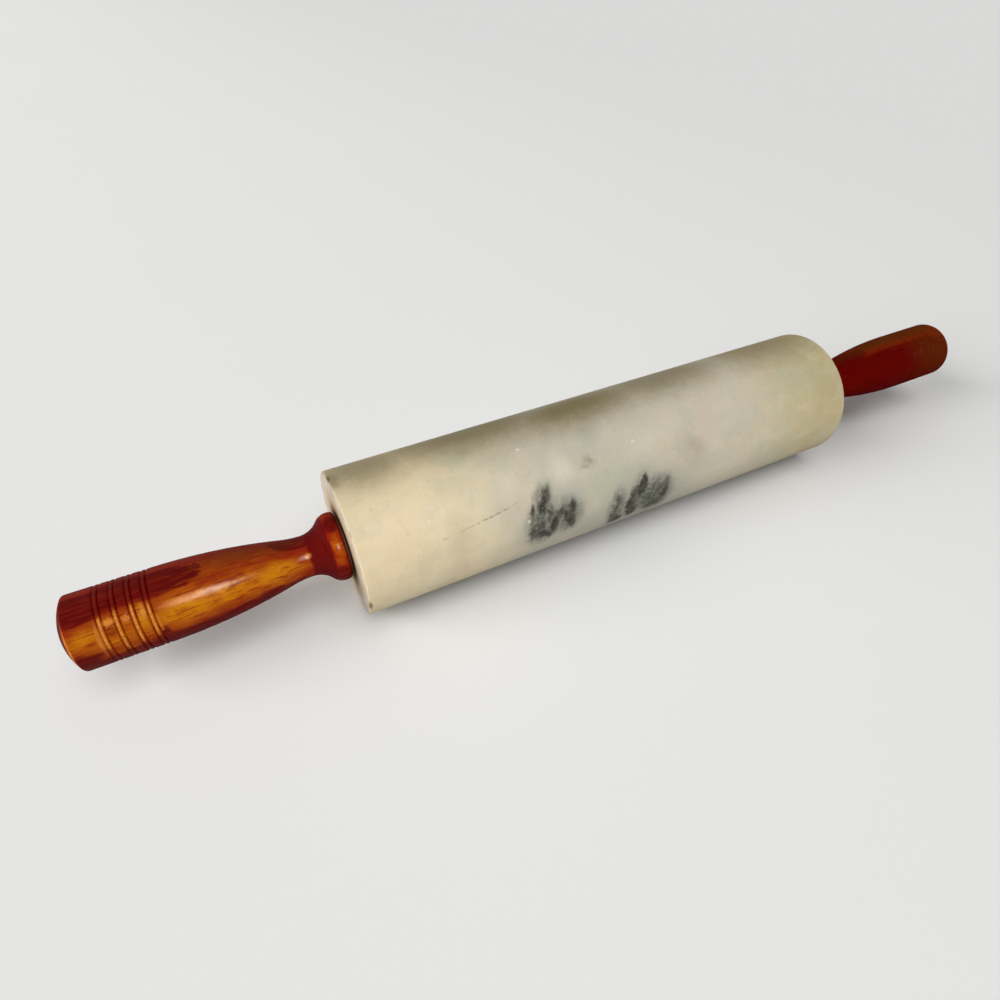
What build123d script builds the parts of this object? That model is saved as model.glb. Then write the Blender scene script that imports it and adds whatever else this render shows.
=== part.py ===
# Marble rolling pin: a stone barrel that spins on a steel axle between two turned wooden handles.
#
# The pin's axis runs along X. The barrel lies on the table, which is the plane Z = 0, so the axis is
# one barrel radius above it. The origin is on the table, under the middle of the barrel.
# The left handle is on the -X side. All sizes are in millimetres.
from build123d import *

import os
from math import radians, sqrt, tan

os.makedirs("parts", exist_ok=True)

# Stone barrel
barrel_length = 254.0
barrel_diameter = 63.5
barrel_rim_radius = 0.8
barrel_bore_diameter = 16.0
barrel_bore_chamfer = 0.6

# Flanged nylon bushing, pressed into each end of the bore with its flange flush with the stone
bushing_sleeve_length = 28.0
bushing_flange_diameter = 26.0
bushing_flange_thickness = 2.0
bushing_flange_edge_radius = 0.4
bushing_lead_in = 1.0
bushing_seat_clearance = 0.05
flange_seat_clearance = 0.1

# Steel axle rod: its ends are turned down to a shoulder and threaded
rod_diameter = 8.0
rod_running_clearance = 0.08
rod_shoulder_width = 1.0
rod_reach = 46.0
rod_tip_chamfer = 0.8

# Thrust washer in the gap between the stone and each collar
washer_diameter = 24.0
washer_thickness = 0.8
washer_bore_clearance = 0.2
barrel_end_float = 0.3

# Threaded brass insert, let in flush with each collar's face
insert_length = 14.0
insert_diameter = 11.0
insert_head_diameter = 14.0
insert_head_thickness = 1.4
insert_nose_chamfer = 1.0
insert_slot_width = 1.6
insert_slot_depth = 0.9
insert_thread_clearance = 0.05
insert_seat_clearance = 0.05

# Turned wooden handle: distances along it are measured outwards from the collar's face
handle_length = 106.0
collar_diameter = 29.7
collar_edge_radius = 0.8
collar_bead_at = 2.4
collar_bead_radius = 6.5
collar_cove_radius = 9.8
neck_diameter = 17.7
grip_cove_radius = 38.0
grip_diameter = 30.0
grip_swell_end_at = 71.0
end_dome_height = 4.5
end_edge_radius = 1.4
rod_hole_clearance = 0.3
rod_hole_spare_depth = 4.0
drill_point_angle = 118.0

# Pairs of rings cut into the grip near its end
ring_pair_count = 4
ring_pair_pitch = 5.5
ring_pair_spacing = 1.85
ring_groove_depth = 0.6
last_pair_from_end = 16.0

# Radii and places that follow from the sizes above
barrel_radius = barrel_diameter / 2
barrel_face_at = barrel_length / 2
bore_radius = barrel_bore_diameter / 2
flange_radius = bushing_flange_diameter / 2
flange_seat_at = barrel_face_at - bushing_flange_thickness
rod_radius = rod_diameter / 2
thread_radius = rod_radius - rod_shoulder_width
insert_radius = insert_diameter / 2
insert_head_radius = insert_head_diameter / 2
collar_radius = collar_diameter / 2
neck_radius = neck_diameter / 2
grip_radius = grip_diameter / 2
collar_face_at = barrel_face_at + barrel_end_float + washer_thickness
axis_height = barrel_radius
pin_axis = Axis((0, 0, axis_height), (1, 0, 0))


def square_plane(distance, side):
    """A plane square to the pin's axis, facing outwards at that distance from the barrel's middle."""
    return Plane(origin=(side * distance, 0, axis_height), z_dir=(side, 0, 0))


def turning_plane(distance, side):
    """A plane through the pin's axis: X runs outwards from that distance, and Y is the radius."""
    return Plane(
        origin=(side * distance, 0, axis_height), x_dir=(side, 0, 0), z_dir=(0, -side, 0)
    )


def circles_outwards(builder, side):
    """The piece's full circles in order along the axis, with the one farthest out on that side last."""
    circles = builder.edges().filter_by(GeomType.CIRCLE).filter_by(lambda edge: edge.is_closed)
    return circles.sort_by(lambda edge: side * edge.center(CenterOf.BOUNDING_BOX).X)


def save_piece(piece, name):
    """Labels a finished piece and writes it to its own file."""
    piece.label = name
    export_step(piece, f"parts/{name}.step")


# Marble barrel: a bore from end to end, a seat for each bushing's flange, and rounded rims
with BuildPart() as marble_barrel:
    with BuildSketch(square_plane(0, 1)):
        Circle(barrel_radius)
    extrude(amount=barrel_face_at, both=True)
    with Locations(square_plane(barrel_face_at, 1)):
        Hole(bore_radius)
    for side in (-1, 1):
        with Locations(square_plane(barrel_face_at, side)):
            Hole(flange_radius + flange_seat_clearance, depth=bushing_flange_thickness)
    circles_by_size = marble_barrel.edges().filter_by(GeomType.CIRCLE).group_by(SortBy.RADIUS)
    chamfer(circles_by_size[0], barrel_bore_chamfer)
    fillet(circles_by_size[-1], barrel_rim_radius)
save_piece(marble_barrel.part, "marble_barrel")

# Axle rod: the full diameter ends at each collar's face, and the threaded end goes on into the handle
with BuildPart() as axle_rod:
    with BuildSketch(square_plane(0, 1)):
        Circle(rod_radius)
    extrude(amount=collar_face_at, both=True)
    with BuildSketch(square_plane(0, 1)):
        Circle(thread_radius)
    extrude(amount=collar_face_at + rod_reach, both=True)
    chamfer(circles_outwards(axle_rod, 1)[-1], rod_tip_chamfer)
    chamfer(circles_outwards(axle_rod, -1)[-1], rod_tip_chamfer)
save_piece(axle_rod.part, "axle_rod")


def make_bushing(side):
    """A sleeve bearing with a flange."""
    with BuildPart() as bushing:
        with BuildSketch(square_plane(barrel_face_at, side)):
            Circle(flange_radius)
        extrude(amount=-bushing_flange_thickness)
        fillet(bushing.edges().filter_by(GeomType.CIRCLE), bushing_flange_edge_radius)
        with BuildSketch(square_plane(flange_seat_at, side)):
            Circle(bore_radius - bushing_seat_clearance)
        extrude(amount=-bushing_sleeve_length)
        chamfer(circles_outwards(bushing, -side)[-1], bushing_lead_in)
        with Locations(square_plane(barrel_face_at, side)):
            Hole(rod_radius + rod_running_clearance)
    return bushing.part


def make_thrust_washer(side):
    """A flat ring that lies against the collar and takes the stone's end thrust."""
    with BuildPart() as thrust_washer:
        with BuildSketch(square_plane(collar_face_at, side)):
            Circle(washer_diameter / 2)
            Circle(rod_radius + washer_bore_clearance, mode=Mode.SUBTRACT)
        extrude(amount=-washer_thickness)
    return thrust_washer.part


def make_threaded_insert(side):
    """A headed sleeve with a screwdriver slot across its face. The rod's shoulder stops against it."""
    with BuildPart() as threaded_insert:
        with BuildSketch(square_plane(collar_face_at, side)):
            Circle(insert_head_radius)
        extrude(amount=insert_head_thickness)
        with BuildSketch(square_plane(collar_face_at, side)):
            Circle(insert_radius)
        extrude(amount=insert_length)
        chamfer(circles_outwards(threaded_insert, side)[-1], insert_nose_chamfer)
        with Locations(square_plane(collar_face_at, side)):
            Hole(thread_radius + insert_thread_clearance)
        with BuildSketch(square_plane(collar_face_at, side)):
            Rectangle(insert_head_diameter, insert_slot_width)
        extrude(amount=insert_slot_depth, mode=Mode.SUBTRACT)
    return threaded_insert.part


def draw_handle_outline():
    """Half of the turned outline: a bead, a cove, a neck and a swelling grip that flow into each other."""
    bead_centre = Vector(collar_bead_at, collar_radius - collar_bead_radius)
    bead_face = Vector(0, bead_centre.Y + sqrt(collar_bead_radius**2 - collar_bead_at**2))
    bead_top = Vector(collar_bead_at, collar_radius)

    # The cove is tangent to the bead where the line between their centres crosses both.
    bead_to_cove = collar_bead_radius + collar_cove_radius
    cove_rise = neck_radius + collar_cove_radius - bead_centre.Y
    neck = Vector(collar_bead_at + sqrt(bead_to_cove**2 - cove_rise**2), neck_radius)
    cove_centre = neck + Vector(0, collar_cove_radius)
    cove_start = bead_centre + (cove_centre - bead_centre) * (collar_bead_radius / bead_to_cove)

    # The grip swells from the neck by a cove and a long arc, which is level where it meets the grip.
    grip_start = Vector(grip_swell_end_at, grip_radius)
    rise = grip_start - neck
    cove_to_swell = rise.length**2 / (2 * rise.Y)
    grip_cove_centre = neck + Vector(0, grip_cove_radius)
    swell_centre = grip_start - Vector(0, cove_to_swell - grip_cove_radius)
    swell_start = (
        grip_cove_centre + (swell_centre - grip_cove_centre) * (grip_cove_radius / cove_to_swell)
    )

    dome_start = Vector(handle_length - end_dome_height, grip_radius)
    dome_radius = (grip_radius**2 + end_dome_height**2) / (2 * end_dome_height)
    with BuildSketch() as handle_outline:
        with BuildLine():
            Line((0, 0), bead_face)
            RadiusArc(bead_face, bead_top, collar_bead_radius)
            RadiusArc(bead_top, cove_start, collar_bead_radius)
            RadiusArc(cove_start, neck, -collar_cove_radius)
            RadiusArc(neck, swell_start, -grip_cove_radius)
            RadiusArc(swell_start, grip_start, cove_to_swell - grip_cove_radius)
            Line(grip_start, dome_start)
            RadiusArc(dome_start, (handle_length, 0), dome_radius)
            Line((handle_length, 0), (0, 0))
        make_face()
    return handle_outline.sketch


def draw_ring_grooves():
    """V grooves in pairs: a square on its corner for each one, with a narrow bead left in each pair."""
    rings_middle = handle_length - last_pair_from_end - (ring_pair_count - 1) * ring_pair_pitch / 2
    groove_square = ring_groove_depth * sqrt(2)
    with BuildSketch() as ring_grooves:
        with Locations((rings_middle, grip_radius)):
            with GridLocations(ring_pair_pitch, ring_pair_pitch, ring_pair_count, 1):
                with GridLocations(ring_pair_spacing, ring_pair_spacing, 2, 1):
                    Rectangle(groove_square, groove_square, rotation=45)
    return ring_grooves.sketch


def draw_handle_bore():
    """Half of the stepped bore: a seat for the insert, then a drilled hole that clears the rod's end."""
    head_seat_radius = insert_head_radius + insert_seat_clearance
    body_seat_radius = insert_radius + insert_seat_clearance
    rod_hole_radius = thread_radius + rod_hole_clearance
    rod_hole_depth = rod_reach + rod_hole_spare_depth
    drill_point_length = rod_hole_radius / tan(radians(drill_point_angle / 2))
    with BuildSketch() as handle_bore:
        with BuildLine():
            Polyline(
                (0, 0),
                (0, head_seat_radius),
                (insert_head_thickness, head_seat_radius),
                (insert_head_thickness, body_seat_radius),
                (insert_length, body_seat_radius),
                (insert_length, rod_hole_radius),
                (rod_hole_depth, rod_hole_radius),
                (rod_hole_depth + drill_point_length, 0),
                close=True,
            )
        make_face()
    return handle_bore.sketch


def make_handle(side):
    """A handle turned from one piece of hardwood."""
    with BuildPart() as handle:
        with BuildSketch(turning_plane(collar_face_at, side)):
            add(draw_handle_outline())
            add(draw_ring_grooves(), mode=Mode.SUBTRACT)
        revolve(axis=pin_axis)
        fillet(circles_outwards(handle, side)[-1], end_edge_radius)
        fillet(circles_outwards(handle, -side)[-1], collar_edge_radius)
        with BuildSketch(turning_plane(collar_face_at, side)):
            add(draw_handle_bore())
        revolve(axis=pin_axis, mode=Mode.SUBTRACT)
    return handle.part


for side, side_name in ((-1, "left"), (1, "right")):
    save_piece(make_bushing(side), f"{side_name}_bushing")
    save_piece(make_thrust_washer(side), f"{side_name}_thrust_washer")
    save_piece(make_threaded_insert(side), f"{side_name}_threaded_insert")
    save_piece(make_handle(side), f"{side_name}_handle")
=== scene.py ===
# %% [markdown]
# # A marble rolling pin
# The pin is a stone barrel that spins on a steel axle between two turned wooden handles.
# The CAD model gives every size. This lesson adds what the eye looks for: the clouded stone with
# its charcoal smudges, small chips on its rims, and stained, varnished wood with cut rings.
# Everything is in metres, the pin's axis runs along X, and the table is the plane Z = 0.

# %% Load the CAD frame
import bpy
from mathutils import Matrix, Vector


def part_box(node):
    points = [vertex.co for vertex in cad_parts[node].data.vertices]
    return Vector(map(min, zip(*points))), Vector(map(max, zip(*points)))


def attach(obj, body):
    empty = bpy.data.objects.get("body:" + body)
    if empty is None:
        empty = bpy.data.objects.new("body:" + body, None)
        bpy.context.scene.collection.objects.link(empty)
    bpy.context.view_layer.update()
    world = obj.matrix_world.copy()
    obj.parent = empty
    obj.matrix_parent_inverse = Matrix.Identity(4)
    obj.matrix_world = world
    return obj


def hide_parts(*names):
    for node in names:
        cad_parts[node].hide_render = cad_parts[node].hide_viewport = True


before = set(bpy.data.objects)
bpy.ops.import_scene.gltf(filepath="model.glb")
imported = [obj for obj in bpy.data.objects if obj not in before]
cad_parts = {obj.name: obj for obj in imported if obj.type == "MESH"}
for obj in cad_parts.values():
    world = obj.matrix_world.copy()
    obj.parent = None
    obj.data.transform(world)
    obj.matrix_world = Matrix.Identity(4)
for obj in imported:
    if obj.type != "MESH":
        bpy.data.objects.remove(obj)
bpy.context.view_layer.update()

# %% [markdown]
# ## Measures
# A piece that takes the place of a CAD part has to have its sizes.

# %% Sizes from the frame
import math

import bpy
import numpy as np
from mathutils import Vector, noise

MM = 0.001

barrel_low, barrel_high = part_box("marble_barrel")
barrel_radius = (barrel_high.z - barrel_low.z) / 2
barrel_face_at = barrel_high.x
axis_height = (barrel_high.z + barrel_low.z) / 2
collar_face_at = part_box("right_handle")[0].x
handle_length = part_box("right_handle")[1].x - collar_face_at
print(f"barrel {2 * barrel_face_at / MM:.1f} x {2 * barrel_radius / MM:.1f} mm")
print(f"handle {handle_length / MM:.1f} mm")

# %% [markdown]
# ## Camera
# The pin was photographed from above its left handle, close enough for the far handle to shrink.
# The camera's place and lens come from the barrel's outline in the photograph. It has no tilt to
# the side, so aiming it at one point is enough.

# %% Camera
camera_place = Vector((-0.1535, -0.2007, 0.2354))
camera_aim = Vector((-0.0561, -0.0053, 0.03175))
sensor_width_mm, lens_mm = 36.0, 23.76
nearest_seen, farthest_seen = 0.01, 100.0

camera_data = bpy.data.cameras.new("camera")
camera_data.sensor_width = sensor_width_mm
camera_data.lens = lens_mm
camera_data.clip_start, camera_data.clip_end = nearest_seen, farthest_seen
camera = bpy.data.objects.new("camera", camera_data)
camera.location = camera_place
looks_along = camera_aim - camera_place
camera.rotation_euler = looks_along.to_track_quat("-Z", "Y").to_euler()
bpy.context.scene.collection.objects.link(camera)
bpy.context.scene.camera = camera
looks_down = math.degrees(math.asin(-looks_along.normalized().z))
print(f"camera looks down {looks_down:.1f} degrees")

# %% [markdown]
# ## Turning a mesh
# The barrel and the handles were both made on a lathe, and a lathe is easy to copy: one outline is
# swept round the axis. A Screw modifier could do it, but the wear needs every point to be free to
# move, so the sweep is done in numpy and the points are pushed about before the mesh is made.

# %% Lathe
crease_angle = math.radians(38)


def turn_points(outline, steps):
    """Sweeps an outline of (distance along the axis, radius) round the axis: rows x steps x 3."""
    along, radius = np.array(outline, float).T
    angle = np.arange(steps) / steps * math.tau
    points = np.empty((len(along), steps, 3))
    points[..., 0] = along[:, None]
    points[..., 1] = -radius[:, None] * np.sin(angle)
    points[..., 2] = radius[:, None] * np.cos(angle) + axis_height
    return points


def make_turned_mesh(name, points, closed):
    """A mesh of quads through the swept points. An outline that isn't closed ends in two poles."""
    rows, steps = points.shape[:2]
    step = np.arange(steps)
    ahead = (step + 1) % steps
    first = np.arange(rows if closed else rows - 1)[:, None] * steps
    second = (first + steps) % (rows * steps)
    quads = np.stack([first + step, first + ahead, second + ahead, second + step], -1).reshape(-1, 4)
    vertices = points.reshape(-1, 3)
    faces = quads.tolist()
    if not closed:
        poles = points[[0, -1]].mean(axis=1)
        vertices = np.concatenate([vertices, poles])
        last_row = (rows - 1) * steps
        faces += [[rows * steps, int(b), int(a)] for a, b in zip(step, ahead)]
        faces += [[rows * steps + 1, last_row + int(a), last_row + int(b)] for a, b in zip(step, ahead)]
    mesh = bpy.data.meshes.new(name)
    mesh.from_pydata(vertices.tolist(), [], faces)
    mesh.validate()
    mesh.shade_smooth()
    mesh.set_sharp_from_angle(angle=crease_angle)
    piece = bpy.data.objects.new(name, mesh)
    bpy.context.scene.collection.objects.link(piece)
    print(name, "has", len(mesh.polygons), "faces")
    return piece


def arc(centre, radius, start, end, count):
    """Points on an arc from one angle to another, in degrees from the direction of the axis."""
    angles = np.radians(np.linspace(start, end, count))
    return [(centre[0] + radius * math.cos(a), centre[1] + radius * math.sin(a)) for a in angles]


# %% [markdown]
# ## Stone barrel
# The real barrel is a marble cylinder, bored through, ground flat at its ends and rounded at its
# rims. Stone wears by chipping, and the rims of a used pin have small shell-shaped chips. A chip is
# made by pushing the points that lie inside a small ball out to the ball's skin.

# %% Barrel outline
rim_radius = 0.8 * MM
bore_radius = 8.0 * MM
bore_chamfer = 0.6 * MM
flange_seat_radius = 13.1 * MM
flange_seat_depth = 2.0 * MM

# The rows of points lie closer by the rims, where the chips are pressed in.
middle_row_step, bore_row_step = 4 * MM, 8 * MM
rows_by_rim, rows_on_rim, rows_on_face = 30, 13, 24
barrel_steps = 432

face = barrel_face_at
close_rows_from = face - 12 * MM
rim_centre = (face - rim_radius, barrel_radius - rim_radius)
half_outline = [(x, barrel_radius) for x in np.arange(0, close_rows_from, middle_row_step)]
half_outline += [(x, barrel_radius) for x in np.linspace(close_rows_from, rim_centre[0], rows_by_rim)]
half_outline += arc(rim_centre, rim_radius, 90, 0, rows_on_rim)[1:]
half_outline += [(face, r) for r in np.linspace(rim_centre[1], flange_seat_radius, rows_on_face)[1:]]
half_outline += [(face - depth, flange_seat_radius) for depth in (flange_seat_depth / 2, flange_seat_depth)]
half_outline += [(face - flange_seat_depth, bore_radius + bore_chamfer)]
half_outline += [(face - flange_seat_depth - bore_chamfer, bore_radius)]
half_outline += [(x, bore_radius) for x in np.arange(close_rows_from, 1 * MM, -bore_row_step)]
other_half = [(-x, r) for x, r in half_outline[:0:-1] if x > 0]
barrel_points = turn_points(half_outline + other_half, barrel_steps)

# %% Chips on the rims
chip_places = np.random.default_rng(7)
chips_per_rim = 13
ball_sizes, chip_depths = (1.0, 2.2), (0.08, 0.3)
chip_lean = math.radians(50)
# The larger chips on the left rim: degrees round, the ball's radius and the chip's depth in mm.
larger_chips = [(-15, 2.6, 0.5), (104, 2.2, 0.45), (-32, 3.0, 0.4)]
almost_nothing = 1e-9


def press_ball(points, centre, radius):
    """Pushes the points inside a ball out to its skin."""
    offset = points - centre
    distance = np.linalg.norm(offset, axis=-1, keepdims=True)
    inside = (distance < radius) & (distance > almost_nothing)
    return np.where(inside, centre + offset * (radius / np.maximum(distance, almost_nothing)), points)


def rim_spot(side, degrees, lift):
    """A place over the rounded rim, lift outside the stone."""
    turn = math.radians(degrees)
    reach = rim_centre[1] + (rim_radius + lift) * math.sin(chip_lean)
    out = rim_centre[0] + (rim_radius + lift) * math.cos(chip_lean)
    return np.array([side * out, -reach * math.sin(turn), reach * math.cos(turn) + axis_height])


for side in (-1, 1):
    for turn in np.sort(chip_places.uniform(0, 360, chips_per_rim)):
        ball = chip_places.uniform(*ball_sizes) * MM
        depth = chip_places.uniform(*chip_depths) * MM
        barrel_points = press_ball(barrel_points, rim_spot(side, turn, ball - depth), ball)
for turn, ball, depth in larger_chips:
    barrel_points = press_ball(barrel_points, rim_spot(-1, turn, (ball - depth) * MM), ball * MM)
stone_barrel = make_turned_mesh("stone_barrel", barrel_points, closed=True)
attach(stone_barrel, "barrel")
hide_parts("marble_barrel")

# %% [markdown]
# ## Turned handles
# Each handle was turned between centres from one piece of hardwood. Its outline is a row of arcs
# that flow into each other: a bead at the collar, a cove, the neck, and a grip that swells towards
# the palm. The arcs are found from their centres, as a turner's template would be drawn.

# %% Handle outline
collar_radius = 14.85 * MM
bead_at, bead_radius = 2.4 * MM, 6.5 * MM
collar_edge_radius = 0.8 * MM
cove_radius = 9.8 * MM
neck_radius = 8.85 * MM
grip_cove_radius = 38.0 * MM
grip_radius = 15.0 * MM
grip_swell_end_at = 71.0 * MM
dome_height = 4.5 * MM
end_edge_radius = 1.4 * MM

bead_centre_r = collar_radius - bead_radius
cove_rise = neck_radius + cove_radius - bead_centre_r
neck_at = bead_at + math.sqrt((bead_radius + cove_radius) ** 2 - cove_rise**2)
cove_start = bead_at + (neck_at - bead_at) * bead_radius / (bead_radius + cove_radius)
swell_run, swell_rise = grip_swell_end_at - neck_at, grip_radius - neck_radius
cove_to_swell = (swell_run**2 + swell_rise**2) / (2 * swell_rise)
swell_radius = cove_to_swell - grip_cove_radius
swell_start = neck_at + swell_run * grip_cove_radius / cove_to_swell
dome_radius = (grip_radius**2 + dome_height**2) / (2 * dome_height)
print(f"neck at {neck_at / MM:.1f} mm, swell from {swell_start / MM:.1f} mm")


def smooth_radius(u):
    """The handle's radius at u from the collar's face, without its rounded edges and its rings."""
    if u < cove_start:
        return bead_centre_r + math.sqrt(bead_radius**2 - (u - bead_at) ** 2)
    if u < neck_at:
        return neck_radius + cove_radius - math.sqrt(cove_radius**2 - (u - neck_at) ** 2)
    if u < swell_start:
        return neck_radius + grip_cove_radius - math.sqrt(grip_cove_radius**2 - (u - neck_at) ** 2)
    if u < grip_swell_end_at:
        return grip_radius - swell_radius + math.sqrt(swell_radius**2 - (u - grip_swell_end_at) ** 2)
    return grip_radius


# %% [markdown]
# ## Rings
# Four pairs of V grooves were cut with the point of a skew chisel near the end of the grip. The
# narrow bead left in each pair is softly rounded, because varnish filled its corners and hands
# wore it. The rows of points lie closer there, or the grooves would look stepped.

# %% Groove depth
pair_pitch = 5.5 * MM
pair_spacing = 1.85 * MM
groove_depth = 0.6 * MM
groove_half_width = 0.62 * MM
groove_rounding, groove_hollow = 0.006, 0.1
last_pair_at = handle_length - 16.0 * MM
pair_places = [last_pair_at - pair_pitch * k for k in (3, 2, 1, 0)]
groove_places = [p + s * pair_spacing / 2 for p in pair_places for s in (-1, 1)]


def ring_depth(u):
    """How deep the nearest V groove is at u: a V whose point and shoulders are a little rounded."""
    reach = min(abs(u - g) for g in groove_places) / groove_half_width
    if reach >= 1:
        return 0.0
    rounded = math.sqrt((1 - reach) ** 2 + groove_rounding) - math.sqrt(groove_rounding)
    return groove_depth * rounded * (1 - groove_hollow * reach)


# %% Outline of the whole handle
insert_head = (7.05 * MM, 1.4 * MM)
insert_body = (5.55 * MM, 14.0 * MM)
rod_hole_radius, rod_hole_depth = 3.3 * MM, 50.0 * MM
drill_point_length = rod_hole_radius / math.tan(math.radians(59))
pole_gap = 0.02  # the share of the drill's point that the last quads leave to the pole
side_row_step, ring_row_step, ring_margin = 0.5 * MM, 0.1 * MM, 2 * MM
rows_on_dome, handle_steps = 22, 224


def rounded_corner(before, corner, after, radius, count):
    """Points of an arc that rounds one corner of the outline."""
    corner = np.array(corner, float)
    to_before = (np.array(before, float) - corner) / math.dist(before, corner)
    to_after = (np.array(after, float) - corner) / math.dist(after, corner)
    half_angle = math.acos(float(np.clip(to_before @ to_after, -1, 1))) / 2
    middle = (to_before + to_after) / np.linalg.norm(to_before + to_after)
    centre = corner + middle * radius / math.sin(half_angle)
    start = corner + to_before * radius / math.tan(half_angle)
    end = corner + to_after * radius / math.tan(half_angle)
    first, last = start - centre, end - centre
    points = []
    for share in np.linspace(0, 1, count):
        direction = first * (1 - share) + last * share
        points.append(tuple(centre + direction / np.linalg.norm(direction) * radius))
    return points


# A corner's two neighbours only give directions, so a few millimetres away is near enough.
dome_start_at = handle_length - dome_height
collar_round = rounded_corner(
    (0, 0), (0, smooth_radius(0)), (1 * MM, smooth_radius(1 * MM)), collar_edge_radius, 8
)
dome_start_angle = math.asin(grip_radius / dome_radius)
dome_slope_point = (
    dome_start_at + 3 * MM * math.sin(dome_start_angle),
    grip_radius - 3 * MM * math.cos(dome_start_angle),
)
end_round = rounded_corner(
    (dome_start_at - 5 * MM, grip_radius), (dome_start_at, grip_radius), dome_slope_point,
    end_edge_radius, 10,
)
fine_from, fine_to = groove_places[0] - ring_margin, groove_places[-1] + ring_margin
side_places = np.concatenate([
    np.arange(collar_round[-1][0] + 0.4 * MM, fine_from, side_row_step),
    np.arange(fine_from, fine_to, ring_row_step),
    np.arange(fine_to, end_round[0][0] - 0.2 * MM, side_row_step),
])
dome_from_angle = math.asin((end_round[-1][1] - 0.3 * MM) / dome_radius)
dome_angles = np.linspace(dome_from_angle, 0.03, rows_on_dome)
handle_outline = [(rod_hole_depth + drill_point_length * (1 - pole_gap), rod_hole_radius * pole_gap)]
handle_outline += [(u, rod_hole_radius) for u in np.linspace(rod_hole_depth, insert_body[1], 5)]
handle_outline += [(insert_body[1], insert_body[0]), (insert_head[1], insert_body[0])]
handle_outline += [(insert_head[1], insert_head[0]), (0, insert_head[0])]
collar_rows = np.linspace(insert_head[0] + 1.5 * MM, collar_round[0][1] - 1 * MM, 4)
handle_outline += [(0, r) for r in collar_rows]
handle_outline += collar_round
handle_outline += [(u, smooth_radius(u) - ring_depth(u)) for u in side_places]
handle_outline += end_round
handle_outline += [
    (handle_length - dome_radius + dome_radius * math.cos(a), dome_radius * math.sin(a))
    for a in dome_angles
]
print("handle outline has", len(handle_outline), "points")

# %% [markdown]
# ## Wear on the wood
# A turned handle is never quite a perfect sweep: the grain lifts a little, and years of use press
# small dents into it. Blender's own noise moves most points by a few hundredths of a millimetre,
# and by up to a third of one where a bead is nicked. All go inwards, so the handle stays inside
# the size on the drawing.

# %% Handle meshes
# Depths in mm. The scales are features to the metre, along the axis and across it.
wave_depth, wave_scale = 0.05, (30, 55)
lifted_depth, lifted_scale = 0.012, (90, 900)
nick_depth, nick_scale, nick_from, nicks_off_rings = 0.5, (900, 500), 0.42, 0.25


def noise_at(x, place, scale, seed_along=0.0, seed_across=0.0):
    """Noise from -1 to 1, its features sized by the two scales."""
    return noise.noise(Vector(
        (x * scale[0] + seed_along, place.y * scale[1], place.z * scale[1] + seed_across)
    ))


def wear_wood(points, seed):
    """Moves the outer points towards the axis by a slow wave, grain lines and nicks on the rings."""
    rows, steps = points.shape[:2]
    outer = [i for i, (u, r) in enumerate(handle_outline) if r > neck_radius * 0.9 and u > 0.5 * MM]
    for i in outer:
        u = handle_outline[i][0]
        on_rings = 1.0 if fine_from < u < fine_to else nicks_off_rings
        for j in range(steps):
            x, y, z = points[i, j]
            place = Vector((x, y, z - axis_height))
            wave = noise_at(x, place, wave_scale, seed_across=seed)
            lifted = noise_at(x, place, lifted_scale, seed_across=seed)
            nick = noise_at(x, place, nick_scale, seed_along=seed)
            inward = wave_depth * (0.5 + 0.5 * wave) + lifted_depth * (0.5 + 0.5 * lifted)
            inward += on_rings * nick_depth * max(0.0, nick - nick_from)
            r = math.hypot(place.y, place.z)
            points[i, j, 1] *= 1 - inward * MM / r
            points[i, j, 2] = axis_height + place.z * (1 - inward * MM / r)
    return points


turned_handles = {}
for side, side_name, seed in ((-1, "left", 3.0), (1, "right", 11.0)):
    handle_points = wear_wood(turn_points(handle_outline, handle_steps), seed)
    handle_points[..., 0] = side * (collar_face_at + handle_points[..., 0])
    if side > 0:
        handle_points = handle_points[:, ::-1]
    handle = make_turned_mesh(f"{side_name}_turned_handle", handle_points, closed=False)
    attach(handle, "handles")
    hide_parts(f"{side_name}_handle")
    turned_handles[side_name] = handle

# %% [markdown]
# ## Making materials
# Every finish below is a small tree of nodes. One function adds a node, sets it and links it, and
# one turns a colour picked on screen into the linear numbers that Blender mixes.

# %% Colour and nodes
def linear(hex_colour):
    """An sRGB colour such as D9CAAA as linear red, green, blue and alpha."""
    shares = [int(hex_colour[i : i + 2], 16) / 255 for i in (0, 2, 4)]
    return tuple(s / 12.92 if s <= 0.04045 else ((s + 0.055) / 1.055) ** 2.4 for s in shares) + (1.0,)


def add_node(tree, kind, settings=(), inputs=()):
    """Adds a node with its settings, and gives back its outputs. The inputs are in the order of its
    sockets, or by name or number. Each is a value, or another node's output, which is linked."""
    node = tree.nodes.new("ShaderNode" + kind)
    for name, value in dict(settings).items():
        setattr(node, name, value)
    for key, value in inputs.items() if isinstance(inputs, dict) else enumerate(inputs):
        if isinstance(value, bpy.types.NodeSocket):
            tree.links.new(value, node.inputs[key])
        else:
            node.inputs[key].default_value = value
    return node.outputs


def start_material(name):
    """A material with an empty node tree, which is filled afterwards."""
    material = bpy.data.materials.new(name)
    material.use_nodes = True
    material.node_tree.nodes.clear()
    return material, material.node_tree


def give_material(material, surface, pieces):
    """Links the surface to the material's output, and gives the material to whole pieces."""
    add_node(material.node_tree, "OutputMaterial", inputs={"Surface": surface})
    for piece in pieces:
        if not piece.data.materials:
            piece.data.materials.append(material)
        for slot in piece.material_slots:
            slot.material = material
    print(f"{material.name} has {len(material.node_tree.nodes)} nodes and is on {len(pieces)} pieces")


# %% [markdown]
# ## Where on the pin
# The patterns are placed in millimetres from the pin's axis, so a vein that is 2 mm wide on the
# stone is written as 2. A second set of coordinates unrolls the surface like a label: millimetres
# along the axis, and degrees round it, from 0 on top to 90 at the front. On the handles the
# millimetres are counted outwards from the collar's face.

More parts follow.
